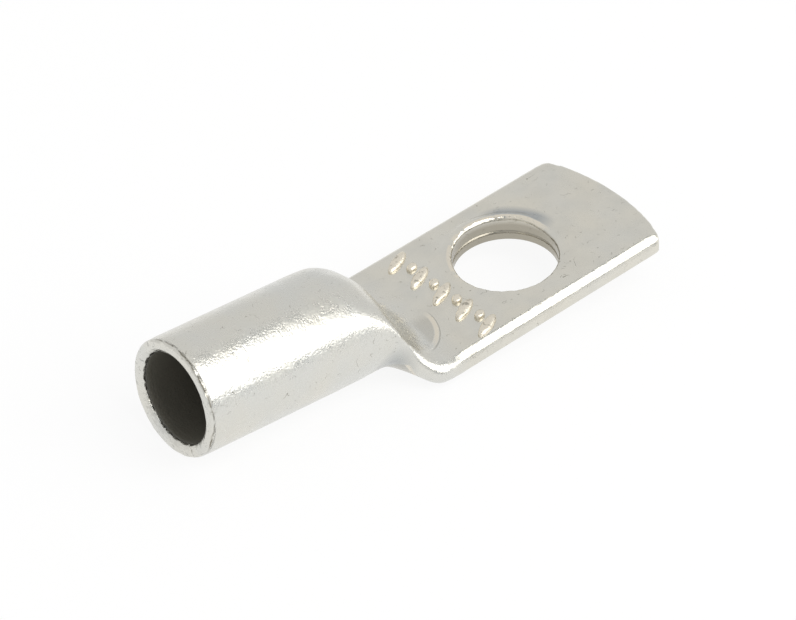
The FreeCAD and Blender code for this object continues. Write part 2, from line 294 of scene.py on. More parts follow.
def linear(hex_colour):
    """An sRGB hex colour as linear red, green, blue and alpha."""
    channels = [int(hex_colour[start : start + 2], 16) / 255 for start in (0, 2, 4)]
    straight = [c / 12.92 if c <= 0.04045 else ((c + 0.055) / 1.055) ** 2.4 for c in channels]
    return (*straight, 1.0)


def per_mm(millimetres):
    """The scale at which a pattern on Object coordinates repeats once in this length."""
    return 1 / (millimetres * MM)


def ramp(value, start, end):
    """0 at start and 1 at end, eased at both."""
    share = max(0.0, min(1.0, (value - start) / (end - start)))
    return share * share * (3 - 2 * share)


def pick(*objects):
    """Leaves only these objects selected, the last of them active."""
    bpy.ops.object.select_all(action="DESELECT")
    for chosen in objects:
        chosen.select_set(True)
        bpy.context.view_layer.objects.active = chosen


def apply_modifier(piece, kind, **settings):
    """Adds a modifier of this kind and applies it."""
    pick(piece)
    modifier = piece.modifiers.new(kind.title(), kind)
    for name, value in settings.items():
        setattr(modifier, name, value)
    bpy.ops.object.modifier_apply(modifier=modifier.name)


def palm_place(point):
    """A point's place in millimetres: from the hole's centre along the palm, across it, and above its top."""
    offset = (point - HOLE_TOP) / MM
    return offset.dot(PALM_ALONG), offset.y, offset.dot(PALM_UP)


def on_palm(along, across, above=0.0):
    """The point at a place on the palm."""
    return HOLE_TOP + MM * (PALM_ALONG * along + Vector((0, across, 0)) + PALM_UP * above)


def arc(height, radius, size, start, end, steps):
    """Places of a round stretch of a profile, heights and radii in millimetres, from one angle to another."""
    turns = [math.radians(start + (end - start) * step / steps) for step in range(steps + 1)]
    return [(height + size * math.sin(turn), radius + size * math.cos(turn)) for turn in turns]


def to_line(along, across, line):
    """Distance from a place on the palm to a line of places."""
    spot = Vector((along, across))
    distances = []
    for first, second in zip(line, line[1:]):
        start = Vector(first)
        run = Vector(second) - start
        share = max(0.0, min(1.0, (spot - start).dot(run) / run.length_squared))
        distances.append((start + run * share - spot).length)
    return min(distances)


def dress(piece):
    """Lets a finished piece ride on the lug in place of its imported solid."""
    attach(piece, "root")
    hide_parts("tube_lug")


# The plated skin

# Its places and sizes, in millimetres. A pair that ramp takes runs from where a thing is none to where it is
# full. The tube's smoothing keeps clear of the mouth, along the tube, and of the palm, along the palm
CLEAR_OF_MOUTH = (0.5, 1.0)
CLEAR_OF_PALM = (PALM_FOOT + 0.6, PALM_FOOT - 0.4)

# The smoothing at the tongue's foot keeps to a stretch along the palm. It is full near the foot's line and
# reaches a little farther on the far side
FOOT_STRETCH = (-11.5, -6.5)
FOOT_FULL = 0.5
FOOT_REACH = 1.9
FOOT_REACH_CHANGE = 0.2

# The tube is set on its radii up to the shoulder. Under the mouth's turned edge its skin is drawn a share of
# the way to the wall's middle and set back
TUBE_TRUE = (SHOULDER_TOP, SHOULDER_TOP - 0.6)
MOUTH_THINNED = 0.06
MOUTH_THINS = (0.85, 0.6)
MOUTH_SET_BACK = 0.05
MOUTH_SETS_BACK = (0.4, 0.0)

# The crown sags along the tube, and round it from the far and near sides, in degrees from the top
SAG_SETS_IN = (6.0, 14.0)
SAG_ENDS = (15.5, 12.5)
SAG_FAR_SIDE = (-45, -10)
SAG_NEAR_SIDE = (62, 24)

# The near fold is pressed above this height over mid-thickness. Its section wanders in waves, each with its
# size and length, over part of the way round it
PRESSED_ABOVE = -0.4
FOLD_WAVES = ((0.07, 1.3), (0.03, 0.4))
WAVES_SET_IN = (-0.25, 0.0)
WAVES_END = (1.0, 0.6)

# The folds are set true from the palm's foot to the tip's corners
FOLD_SETS_IN = (PALM_FOOT - 2.1, PALM_FOOT - 0.5)
NEAR_FOLD_ENDS = (TIP_CORNER + 0.2, TIP_CORNER - 0.9)
FAR_FOLD_ENDS = (TIP_CORNER - 0.4, TIP_CORNER - 1.5)

# The palm's skin keeps behind the hole's turned rim: its hole is wider, its top lower beneath the rim's thin
# border and lower still beneath the rolled edge, and its underside higher
HOLE_CATCH = 0.05
HOLE_WIDER = 0.06
BORDER_DROP = 0.02
BORDER_DROPS = (4.75, 4.5)
ROLL_DROP = 0.3
ROLL_DROPS = (4.25, 3.75)
UNDERSIDE_RISE = 0.1
UNDERSIDE_RISES = (3.8, 3.5)

# The press's marks keep to a stretch along the palm and short of its folds. The crescent has its width and
# sets in and ends across the palm, and the nick has its width and its share of the crescent's height
PRESS_STRETCH = (-11, -6)
PRESS_HALF_WIDTH = 4.6
CRESCENT_WIDTH = 0.16
CRESCENT_SETS_IN = (-0.7, -1.5)
CRESCENT_ENDS = (-4.1, -3.7)
NICK_WIDTH = 0.09
NICK_SHARE = 0.6


def merged_copy(source, name):
    """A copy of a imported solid's mesh with its loose triangles merged."""
    pick(source)
    bpy.ops.object.duplicate()
    copy = bpy.context.active_object
    copy.name = name
    copy.data.name = name
    copy.parent = None
    for key in [key for key in copy.keys() if key.startswith("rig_")]:
        del copy[key]
    bpy.ops.object.mode_set(mode="EDIT")
    bpy.ops.mesh.select_all(action="SELECT")
    bpy.ops.mesh.remove_doubles(threshold=0.0005 * MM)
    bpy.ops.object.mode_set(mode="OBJECT")
    return copy


def tube_share(point):
    """How far a point is on the barrel or the shoulder, away from the mouth's edges and the palm."""
    return ramp(point.x / MM, *CLEAR_OF_MOUTH) * ramp(palm_place(point)[0], *CLEAR_OF_PALM)


def foot_share(point):
    """How far a point is beside the line where the tongue runs out into the palm."""
    along, across, above = palm_place(point)
    if not FOOT_STRETCH[0] < along < FOOT_STRETCH[1] or above < -HALF_PALM:
        return 0.0
    distance = to_line(along, -abs(across), TONGUE_FOOT)
    reach = FOOT_REACH + FOOT_REACH_CHANGE * max(-1.0, min(1.0, across))
    return ramp(distance, reach, FOOT_FULL)


def tip_share(point):
    """How far a point is at the palm's sheared end."""
    return ramp(palm_place(point)[0], TIP_CORNER - 1.0, TIP_CORNER)


def ease(skin, name, share, rounds):
    """Smooths the skin where this share of a point is above none."""
    group = skin.vertex_groups.new(name=name)
    for vertex in skin.data.vertices:
        weight = share(vertex.co)
        if weight > 0:
            group.add([vertex.index], weight, "REPLACE")
    apply_modifier(skin, "SMOOTH", factor=0.5, iterations=rounds, vertex_group=name)


def draw_to(point, radius, share):
    """Moves a point this share of the way to a radius round the tube's axis."""
    scale = 1 + share * (radius / math.hypot(point.y, point.z) - 1)
    point.y *= scale
    point.z *= scale


def true_tube(point):
    """Sets a point of the barrel or the bore on its radius, and sinks the mouth under its turned edge."""
    off_axis = math.hypot(point.y, point.z)
    x = point.x / MM
    for radius in (BARREL_RADIUS, BORE_RADIUS):
        if abs(off_axis - radius) < FLAT_CATCH * MM:
            draw_to(point, radius, ramp(x, *TUBE_TRUE))
    draw_to(point, WALL_MIDDLE, MOUTH_THINNED * ramp(x, *MOUTH_THINS))
    point.x += MOUTH_SET_BACK * MM * ramp(x, *MOUTH_SETS_BACK)


def sag_crown(point, normal, sag):
    """Draws the crown down ahead of the shoulder, most on the side towards the front, none at the outline."""
    if normal.z < 0:
        return
    x = point.x / MM
    turn = math.degrees(math.atan2(-point.y, point.z))
    lengthways = ramp(x, *SAG_SETS_IN) * ramp(x, *SAG_ENDS)
    sideways = ramp(turn, *SAG_FAR_SIDE) * ramp(turn, *SAG_NEAR_SIDE)
    point.z -= sag * sideways * lengthways


def pressed_fold(length):
    """The place on the fold's pressed section at a length round it: outward, and above mid-thickness."""
    for (start, low), (end, high) in zip(FOLD_PROFILE, FOLD_PROFILE[1:]):
        if length <= end:
            share = (length - start) / (end - start)
            return [a + share * (b - a) for a, b in zip(low, high)]
    return list(FOLD_PROFILE[-1][1])


def true_fold(point):
    """Sets a point of the palm's faces on their planes and of its folds on their sections.

    The far fold is a true half round, and the near one is pressed and wanders a little.
    """
    along, across, above = palm_place(point)
    height = above + HALF_PALM
    outward = abs(across) - FOLD_AXIS
    if outward < 0:
        length = outward
        off_face = abs(abs(height) - HALF_PALM)
        catch = FLAT_CATCH
        goal = (outward, math.copysign(HALF_PALM, height))
    else:
        turn = math.atan2(outward, height)
        length = HALF_PALM * turn
        off_face = abs(math.hypot(outward, height) - HALF_PALM)
        catch = ROUND_CATCH
        goal = (HALF_PALM * math.sin(turn), HALF_PALM * math.cos(turn))
    if across < 0 and height > PRESSED_ABOVE and FOLD_PROFILE[0][0] < length < FOLD_PROFILE[-1][0]:
        wander = sum(size * noise.noise(point * per_mm(wave)) for size, wave in FOLD_WAVES)
        catch = PRESSED_CATCH
        goal = pressed_fold(length + wander * ramp(length, *WAVES_SET_IN) * ramp(length, *WAVES_END))
    if off_face > catch:
        return point
    ends = NEAR_FOLD_ENDS if across < 0 else FAR_FOLD_ENDS
    share = ramp(along, *FOLD_SETS_IN) * ramp(along, *ends)
    outward += share * (goal[0] - outward)
    height += share * (goal[1] - height)
    return on_palm(along, math.copysign(FOLD_AXIS + outward, across), height - HALF_PALM)


def sink_under_rim(point):
    """Lowers the palm's top beneath the hole's turned rim, and widens the hole behind it."""
    along, across, above = palm_place(point)
    reach = math.hypot(along, across)
    if reach < HOLE_RADIUS / MM + HOLE_CATCH:
        widened = (HOLE_RADIUS / MM + HOLE_WIDER) / reach
        along *= widened
        across *= widened
    if above > -HALF_PALM:
        above -= BORDER_DROP * ramp(reach, *BORDER_DROPS) + ROLL_DROP * ramp(reach, *ROLL_DROPS)
    if above < -HALF_PALM:
        above += UNDERSIDE_RISE * ramp(reach, *UNDERSIDE_RISES)
    return on_palm(along, across, above)


def press_marks(point, crescent_height):
    """Raises the crescent beside the tongue's foot and sinks a small nick at its far side."""
    along, across, above = palm_place(point)
    on_stretch = PRESS_STRETCH[0] < along < PRESS_STRETCH[1]
    if above < -HALF_PALM or not on_stretch or abs(across) > PRESS_HALF_WIDTH:
        return point
    off_ridge = math.hypot(along - CRESCENT_MIDDLE[0], across - CRESCENT_MIDDLE[1]) - CRESCENT_RADIUS
    ridge = math.exp(-((off_ridge / CRESCENT_WIDTH) ** 2))
    ridge *= ramp(across, *CRESCENT_SETS_IN) * ramp(across, *CRESCENT_ENDS)
    nick = NICK_SHARE * math.exp(-((to_line(along, across, NICK) / NICK_WIDTH) ** 2))
    return point + PALM_UP * crescent_height * (ridge - nick)


class LUG_OT_skin(bpy.types.Operator):
    """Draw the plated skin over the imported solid"""

    bl_idname = "lug.skin"
    bl_label = "Plated Skin"

    def execute(self, context):
        sizes = context.scene.lug_skin
        skin = merged_copy(SOLID, "plated_skin")
        apply_modifier(skin, "REMESH", mode="VOXEL", voxel_size=sizes.grain, use_smooth_shade=True)
        ease(skin, "tube", tube_share, sizes.tube_easing)
        ease(skin, "foot", foot_share, sizes.foot_easing)
        ease(skin, "tip", tip_share, sizes.tip_easing)
        apply_modifier(skin, "SMOOTH", factor=0.5, iterations=sizes.edge_easing)
        normals = [vertex.normal.copy() for vertex in skin.data.vertices]
        for vertex, normal in zip(skin.data.vertices, normals):
            if vertex.co.x < SHOULDER_TOP * MM:
                true_tube(vertex.co)
            else:
                point = true_fold(vertex.co)
                point = press_marks(point, sizes.crescent_height)
                vertex.co = sink_under_rim(point)
            sag_crown(vertex.co, normal, sizes.crown_sag)
        dress(skin)
        return {"FINISHED"}


# Turned edges


def turned_ring(name, centre, axis, profile):
    """A ring drawn out as by hand: a circle extruded and resized along a profile of heights and radii."""
    height, radius = profile[0]
    turn = axis.to_track_quat("Z", "Y").to_euler()
    bpy.ops.object.select_all(action="DESELECT")
    bpy.ops.mesh.primitive_circle_add(
        vertices=EDGE_SEGMENTS,
        radius=radius * MM,
        location=centre + axis * height * MM,
        rotation=turn,
    )
    ring = bpy.context.active_object
    ring.name = name
    ring.data.name = name
    bpy.ops.object.transform_apply(location=True, rotation=True, scale=True)
    bpy.ops.object.mode_set(mode="EDIT")
    bpy.ops.mesh.select_all(action="SELECT")
    for (height, radius), (next_height, next_radius) in zip(profile, profile[1:]):
        rise = axis * (next_height - height) * MM
        bpy.ops.mesh.extrude_region_move(TRANSFORM_OT_translate={"value": rise})
        size = next_radius / radius
        middle = centre + axis * next_height * MM
        bpy.ops.transform.resize(value=(size, size, size), center_override=middle)
    bpy.ops.object.mode_set(mode="OBJECT")
    bpy.ops.object.shade_smooth()
    return ring


def face_from(ring, inside):
    """Turns an open ring's faces away from a point that lies within its metal, found for each face."""
    for face in ring.data.polygons:
        outward = face.center - inside(face.center)
        if face.normal.dot(outward) < 0:
            face.flip()
    ring.data.update()


# Each profile holds heights and radii in millimetres: the mouth's along the tube, the rim's above the palm
MOUTH_PROFILE = [
    (1.0, 3.735),
    (0.8, 3.75),
    (0.5, 3.75),
    (0.34, 3.75),
    *arc(0.2, 3.55, 0.2, 0, -90, 7),
    (0.0, 3.45),
    (0.0, 3.35),
    (0.0, 3.25),
    *arc(0.08, 3.2, 0.08, -90, -135, 3),
    (0.11, 3.04),
    (0.19, 2.96),
    *arc(0.33, 2.93, 0.08, -135, -180, 3),
    (0.5, 2.85),
    (0.75, 2.85),
    (1.0, 2.87),
]

RIM_PROFILE = [
    (-0.03, 4.75),
    (0.0, 4.5),
    (0.002, 4.35),
    (0.002, 4.2),
    (0.002, 4.05),
    (0.002, 3.95),
    (0.002, 3.85),
    (0.002, 3.75),
    (0.001, 3.65),
    *arc(-0.25, 3.55, 0.25, 90, 180, 9),
    (-0.4, 3.3),
    (-0.55, 3.3),
    (-0.7, 3.3),
    *arc(-0.77, 3.3, 0.05, 90, -90, 6),
    (-1.1, 3.3),
    (-1.35, 3.3),
    *arc(-1.4, 3.4, 0.1, 180, 270, 4),
    (-1.47, 3.7),
]


# Uneven waves of the mouth's sawn face and of the rim's rolled edge, slow and quick. Each has its length in
# millimetres and a shift that sets it apart
MOUTH_SLOW = (2.2, Vector())
MOUTH_QUICK = (0.5, Vector((7, 3, 1)))
RIM_SLOW = (1.6, Vector((2, 5, 9)))
RIM_QUICK = (0.25, Vector())

# Where the punch's lip is highest round the hole and where it has a lower shoulder, in degrees from the tip
LIP_TURN = 60
LIP_SHOULDER_TURN = 130
LIP_SHOULDER_SHARE = 0.45


def wall_core(point):
    """The middle of the tube's wall beside a point of the mouth, half a millimetre in."""
    scale = WALL_MIDDLE / math.hypot(point.y, point.z)
    return Vector((0.5 * MM, point.y * scale, point.z * scale))


def rim_core(point):
    """The middle of the palm beside a point of the stud hole's rim, 4 mm off the hole's axis."""
    along, across, _ = palm_place(point)
    scale = 4.0 / math.hypot(along, across)
    return on_palm(along * scale, across * scale, -HALF_PALM)


def waves(point, length, shift):
    """The height of uneven waves at a point, from 0 to 2."""
    return 1 + noise.noise(point * per_mm(length) + shift)


def rough_mouth(ring):
    """Lets the mouth's sawn face wander a little, within the tube's length and radius."""
    for vertex in ring.data.vertices:
        point = vertex.co
        near_edge = ramp(point.x / MM, 0.7, 0.3)
        slow = waves(point, *MOUTH_SLOW)
        quick = waves(point, *MOUTH_QUICK)
        radius = math.hypot(point.y, point.z)
        inward = MM * near_edge * (0.02 * slow + 0.012 * quick)
        side = 1 if radius > WALL_MIDDLE else -1
        draw_to(point, radius - side * inward, 1.0)
        point.x += MM * near_edge * (0.018 * slow + 0.012 * quick)


def rough_rim(ring, lip):
    """Raises the punch's lip round the rim's far side, and lets its rolled edge wander."""
    for vertex in ring.data.vertices:
        along, across, above = palm_place(vertex.co)
        reach = math.hypot(along, across)
        turn = math.degrees(math.atan2(across, along))
        lipped = ramp(abs(turn - LIP_TURN), 75, 20)
        lipped += LIP_SHOULDER_SHARE * ramp(abs(turn - LIP_SHOULDER_TURN), 50, 10)
        on_top = ramp(above, -0.7, -0.2)
        above += lip / MM * min(1.0, lipped) * on_top * ramp(reach, 4.35, 3.62)
        rolled = ramp(reach, 4.1, 3.6) * ramp(above, -0.6, -0.3)
        above -= rolled * (0.035 * waves(vertex.co, *RIM_QUICK) + 0.02 * waves(vertex.co, *RIM_SLOW))
        vertex.co = on_palm(along, across, above)


class LUG_OT_edges(bpy.types.Operator):
    """Turn the mouth's edge and the stud hole's rim"""

    bl_idname = "lug.edges"
    bl_label = "Turned Edges"

    def execute(self, context):
        sizes = context.scene.lug_skin
        mouth = turned_ring("mouth_edge", Vector(), Vector((1, 0, 0)), MOUTH_PROFILE)
        rough_mouth(mouth)
        face_from(mouth, wall_core)
        dress(mouth)
        rim = turned_ring("stud_hole_rim", HOLE_TOP, PALM_UP, RIM_PROFILE)
        rough_rim(rim, sizes.rim_lip)
        face_from(rim, rim_core)
        dress(rim)
        return {"FINISHED"}


# Raised marks


def drawn_ball(size, height):
    """The model of a raised mark, at the origin: a ball drawn out in length and width and pressed flat."""
    bpy.ops.object.select_all(action="DESELECT")
    bpy.ops.mesh.primitive_uv_sphere_add(segments=40, ring_count=20, radius=0.5 * MM, location=(0, 0, 0))
    model = bpy.context.active_object
    bpy.ops.object.mode_set(mode="EDIT")
    bpy.ops.mesh.select_all(action="SELECT")
    bpy.ops.transform.resize(value=(*size, 2 * height), center_override=(0, 0, 0))
    bpy.ops.object.mode_set(mode="OBJECT")
    bpy.ops.object.shade_smooth()
    return model


def set_on_palm(model, size, along, across):
    """A copy of a mark's model, made blunt, turned on the palm, sunk to half its height and left uneven."""
    pick(model)
    bpy.ops.object.duplicate()
    mark = bpy.context.active_object
    middle = on_palm(along, across)
    lean = PALM_ALONG.to_track_quat("X", "Z").to_matrix()
    swing = Matrix.Rotation(MARK_TURN, 3, PALM_UP)
    length, width = size
    for vertex in mark.data.vertices:
        offset = vertex.co.copy()
        wander = MARK_WANDER * MM * noise.noise((middle + offset) * per_mm(0.45))
        off_middle = math.hypot(offset.x / length, offset.y / width) / (0.5 * MM)
        if off_middle > 0:
            blunt = min(1.0, off_middle**0.5) / off_middle
            offset.x *= blunt
            offset.y *= blunt
        offset = swing @ (lean @ offset)
        vertex.co = middle + offset + offset.normalized() * wander
    return mark


class LUG_OT_marks(bpy.types.Operator):
    """Raise a plain row of ribs and pips on the palm, between the shoulder and the hole"""

    bl_idname = "lug.marks"
    bl_label = "Raised Marks"

    def execute(self, context):
        height = context.scene.lug_skin.mark_height / MM
        rib = drawn_ball(RIB_SIZE, height)
        pip = drawn_ball(PIP_SIZE, height)
        marks = []
        for number in range(RIB_COUNT):
            across = FIRST_RIB_ACROSS - RIB_SPACING * number
            marks.append(set_on_palm(rib, RIB_SIZE, RIB_ALONG, across))
            if number < RIB_COUNT - 1:
                marks.append(set_on_palm(pip, PIP_SIZE, PIP_ALONG, across - RIB_SPACING / 2))
        pick(rib, pip)
        bpy.ops.object.delete()
        pick(*marks)
        bpy.ops.object.join()
        row = bpy.context.active_object
        row.name = "raised_marks"
        row.data.name = "raised_marks"
        dress(row)
        return {"FINISHED"}


# Finishes

# Kinds of node that the finishes are made of, and the sockets of a Mix node that blends colours
MATH = "ShaderNodeMath"
RANGE = "ShaderNodeMapRange"
NOISE = "ShaderNodeTexNoise"
VECTOR = "ShaderNodeVectorMath"
MIX = "ShaderNodeMix"
MIX_SHARE = 0
MIX_UNDER = 6
MIX_OVER = 7
MIX_RESULT = 2

# The plate's patterns, each with its size in millimetres and its detail. Its grain is too fine to show, so it
# is drawn at twice its size
PATTERNS = {
    "grain": (0.14, 1.5),
    "lumps": (0.45, 2.0),
    "patches": (0.5, 1.0),
    "mottle": (0.6, 2.0),
    "swirls": (0.9, 2.0),
    "ripple": (1.1, 3.0),
    "waves": (2.6, 1.0),
}

# Where the tube's plate passes into the palm's, in millimetres along the tube's axis, and the middles of the
# painted bluish reflection on the lip's fall behind the hole and of the painted shade in the neck under the
# shoulder
TUBE_PLATE_END = 17.0
PALM_PLATE_START = 19.0
LIP_FALL = on_palm(3.1, 2.3)
NECK = Vector((14.25, -3.4, -1.9)) * MM

# How far the plate's roughness varies and how much rougher the tube and the bore are, then the bore's share
# of metal
ROUGHNESS_SPREAD = 0.04
TUBE_ROUGHER = 0.08
BORE_ROUGHER = 0.35
BORE_METALLIC = 0.3


def add_node(tree, kind, inputs=(), output=0, **settings):
    """Adds a node with its settings, sets or links its inputs by name or in order, and gives one output."""
    node = tree.nodes.new(kind)
    for name, value in settings.items():
        setattr(node, name, value)
    pairs = inputs.items() if isinstance(inputs, dict) else enumerate(inputs)
    for key, value in pairs:
        if isinstance(value, bpy.types.NodeSocket):
            tree.links.new(value, node.inputs[key])
        else:
            node.inputs[key].default_value = value
    return node.outputs[output]


def new_material(name):
    """An empty material with its shader."""
    material = bpy.data.materials.new(name)
    material.use_nodes = True
    tree = material.node_tree
    return material, tree, tree.nodes["Principled BSDF"]


# Each of the next functions adds the nodes for one feature, and most give its share of the surface, 0 to 1. A
# Map Range node takes its value, then the value's low and high end, then what it gives at each


def plate_places(tree):
    """Where a point is: on the lug's axes, off the tube's axis, off the hole's axis and above the palm."""
    place = add_node(tree, "ShaderNodeTexCoord", output="Object")
    x = add_node(tree, "ShaderNodeSeparateXYZ", [place], output="X")
    y = x.node.outputs["Y"]
    z = x.node.outputs["Z"]
    off_tube = add_node(tree, "ShaderNodeCombineXYZ", [0.0, y, z])
    off_tube = add_node(tree, VECTOR, [off_tube], operation="LENGTH", output="Value")
    offset = add_node(tree, VECTOR, [place, HOLE_TOP], operation="SUBTRACT")
    above = add_node(tree, VECTOR, [offset, PALM_UP], operation="DOT_PRODUCT", output="Value")
    along = add_node(tree, VECTOR, [offset, PALM_ALONG], operation="DOT_PRODUCT", output="Value")
    off_hole = add_node(tree, "ShaderNodeCombineXYZ", [along, y, 0.0])
    off_hole = add_node(tree, VECTOR, [off_hole], operation="LENGTH", output="Value")
    palm_part = add_node(tree, RANGE, [x, TUBE_PLATE_END * MM, PALM_PLATE_START * MM, 0.0, 1.0])
    return SimpleNamespace(
        place=place,
        x=x,
        y=y,
        z=z,
        off_tube=off_tube,
        off_hole=off_hole,
        above=above,
        palm_part=palm_part,
    )


def plate_patterns(tree, place):
    """The plate's patterns, by name."""
    patterns = SimpleNamespace()
    for name, (size, detail) in PATTERNS.items():
        pattern = add_node(tree, NOISE, {"Vector": place, "Scale": per_mm(size), "Detail": detail})
        setattr(patterns, name, pattern)
    return patterns


def curly_scratches(tree, patterns):
    """Fine curly scratches follow the level lines of one pattern and are broken up by another."""
    level = add_node(tree, MATH, [patterns.swirls, 0.5, 0.006], operation="COMPARE")
    broken = add_node(tree, RANGE, [patterns.patches, 0.6, 0.66, 0.0, 0.6])
    return add_node(tree, MATH, [level, broken], operation="MULTIPLY")


def plate_relief(tree, spot, patterns, scratches):
    """The plate's height, in grain depths: full grain on the tube, less on the palm, a lumpy sawn face."""
    on_tube = add_node(tree, RANGE, [spot.x, 18.5 * MM, 16.0 * MM, 0.5, 1.3])
    height = add_node(tree, MATH, [patterns.mottle, 0.5, patterns.grain], operation="MULTIPLY_ADD")
    height = add_node(tree, MATH, [height, on_tube], operation="MULTIPLY")
    height = add_node(tree, MATH, [patterns.waves, 3.0, height], operation="MULTIPLY_ADD")
    height = add_node(tree, MATH, [scratches, -0.8, height], operation="MULTIPLY_ADD")
    on_face = add_node(tree, RANGE, [spot.x, 0.34 * MM, 0.2 * MM, 0.0, 9.0])
    return add_node(tree, MATH, [patterns.lumps, on_face, height], operation="MULTIPLY_ADD")


def fold_rub(tree, spot, patterns):
    """A rubbed line runs unevenly along the near fold, under its brightest part."""
    waver = add_node(tree, RANGE, [patterns.ripple, 0.3, 0.7, -0.37 * MM, -0.23 * MM])
    off_line = add_node(tree, MATH, [spot.above, waver], operation="SUBTRACT")
    off_line = add_node(tree, MATH, [off_line], operation="ABSOLUTE")
    streak = add_node(tree, RANGE, [off_line, 0.012 * MM, 0.04 * MM, 0.8, 0.0])
    near_side = add_node(tree, RANGE, [spot.y, -5.0 * MM, -5.1 * MM, 0.0, 1.0])
    wear = add_node(tree, RANGE, [patterns.patches, 0.42, 0.6, 0.0, 1.0])
    for share in (near_side, spot.palm_part, wear):
        streak = add_node(tree, MATH, [streak, share], operation="MULTIPLY")
    return streak


def burr_shade_line(tree, spot, patterns):
    """The saw's burr is a thin dark line round the mouth's outer edge, broken up, on the upper front side:
    partly the burr's own dark line, partly painted shade for the crack at it.
    """
    waver = add_node(tree, RANGE, [patterns.ripple, 0.3, 0.7, 0.10 * MM, 0.24 * MM])
    off_line = add_node(tree, MATH, [spot.x, waver], operation="SUBTRACT")
    off_line = add_node(tree, MATH, [off_line], operation="ABSOLUTE")
    # Painted shade of the crack at the burr, with the burr's own dark line
    burr = add_node(tree, RANGE, [off_line, 0.02 * MM, 0.07 * MM, 1.0, 0.0])
    upper_front = add_node(tree, MATH, [spot.z, spot.y], operation="SUBTRACT")
    upper_front = add_node(tree, RANGE, [upper_front, 1.0 * MM, 2.2 * MM, 0.0, 1.0])
    outside = add_node(tree, RANGE, [spot.off_tube, 3.5 * MM, 3.55 * MM, 0.0, 1.0])
    wear = add_node(tree, RANGE, [patterns.patches, 0.34, 0.5, 0.0, 1.0])
    for share in (upper_front, outside, wear):
        burr = add_node(tree, MATH, [burr, share], operation="MULTIPLY")
    return burr


def shade_and_clouds(tree, spot):
    """A painted bluish reflection behind the lip, painted shade in the neck under the shoulder, and faint
    random clouds of the same tone on the palm.
    """
    fall = add_node(tree, VECTOR, [spot.place, LIP_FALL], operation="DISTANCE", output="Value")
    fall = add_node(tree, RANGE, [fall, 2.7 * MM, 1.3 * MM, 0.0, 1.0])
    past_lip = add_node(tree, RANGE, [spot.off_hole, 3.6 * MM, 3.75 * MM, 0.0, 1.0])
    fading = add_node(tree, RANGE, [spot.off_hole, 4.85 * MM, 4.25 * MM, 0.0, 1.0])
    for share in (past_lip, fading):
        fall = add_node(tree, MATH, [fall, share], operation="MULTIPLY")
    neck = add_node(tree, VECTOR, [spot.place, NECK], operation="DISTANCE", output="Value")
    neck = add_node(tree, RANGE, [neck, 1.6 * MM, 0.3 * MM, 0.0, 0.8])
    clouds = {"Vector": spot.place, "Scale": per_mm(1.9), "Detail": 5.0, "Roughness": 0.6}
    clouds = add_node(tree, RANGE, [add_node(tree, NOISE, clouds), 0.42, 0.66, 0.0, 0.15])
    shade = add_node(tree, MATH, [clouds, spot.palm_part], operation="MULTIPLY")
    for share in (fall, neck):
        shade = add_node(tree, MATH, [shade, share], operation="MAXIMUM")
    return shade


def crescent_light_and_shade(tree, spot):
    """Painted light and shade at the press's crescent: a pale painted highlight on its ridge, painted shade on
    the palm inside it and a thin line of painted shade outside it.
    """
    middle = on_palm(*CRESCENT_MIDDLE)
    off_ridge = add_node(tree, VECTOR, [spot.place, middle], operation="DISTANCE", output="Value")
    off_ridge = add_node(tree, MATH, [off_ridge, CRESCENT_RADIUS * MM], operation="SUBTRACT")
    beside = add_node(tree, MATH, [off_ridge], operation="ABSOLUTE")
    # A painted highlight along the ridge, painted shade inside it and a thin line of painted shade outside it
    pale = add_node(tree, RANGE, [beside, 0.16 * MM, 0.10 * MM, 0.0, 1.0])
    shaded = add_node(tree, RANGE, [off_ridge, -0.1 * MM, -0.2 * MM, 0.0, 0.35])
    edge = add_node(tree, MATH, [off_ridge, 0.2 * MM, 0.04 * MM], operation="COMPARE")
    edge = add_node(tree, MATH, [edge, 0.45], operation="MULTIPLY")
    near_palm = add_node(tree, RANGE, [spot.y, -0.6 * MM, -1.4 * MM, 0.0, 1.0])
    near_end = add_node(tree, RANGE, [spot.y, -4.2 * MM, -3.8 * MM, 0.0, 1.0])
    low_enough = add_node(tree, RANGE, [spot.above, 0.35 * MM, 0.2 * MM, 0.0, 1.0])
    for share in (near_palm, near_end, low_enough):
        pale = add_node(tree, MATH, [pale, share], operation="MULTIPLY")
        shaded = add_node(tree, MATH, [shaded, share], operation="MULTIPLY")
        edge = add_node(tree, MATH, [edge, share], operation="MULTIPLY")
    return pale, shaded, edge


def lip_highlight(tree, spot, patterns):
    """A painted highlight along the lip's inner edge, broken into grains, on the far side."""
    streak = add_node(tree, RANGE, [spot.off_hole, 3.68 * MM, 3.6 * MM, 0.0, 1.0])
    past_wall = add_node(tree, RANGE, [spot.off_hole, 3.34 * MM, 3.38 * MM, 0.0, 1.0])
    far_side = add_node(tree, RANGE, [spot.y, -0.2 * MM, 0.6 * MM, 0.0, 1.0])
    on_lip = add_node(tree, RANGE, [spot.above, -0.2 * MM, -0.1 * MM, 0.0, 1.0])
    grains = add_node(tree, RANGE, [patterns.patches, 0.36, 0.46, 0.0, 1.0])
    for share in (past_wall, far_side, on_lip, grains):
        streak = add_node(tree, MATH, [streak, share], operation="MULTIPLY")
    return streak


def wall_shade(tree, spot):
    """Painted shade on the stud hole's punched wall, darker deeper down."""
    wall = add_node(tree, RANGE, [spot.off_hole, 3.42 * MM, 3.34 * MM, 0.0, 1.0])
    deeper = add_node(tree, RANGE, [spot.above, 0.0, -0.3 * MM, 0.5, 1.0])
    return add_node(tree, MATH, [wall, deeper], operation="MULTIPLY")


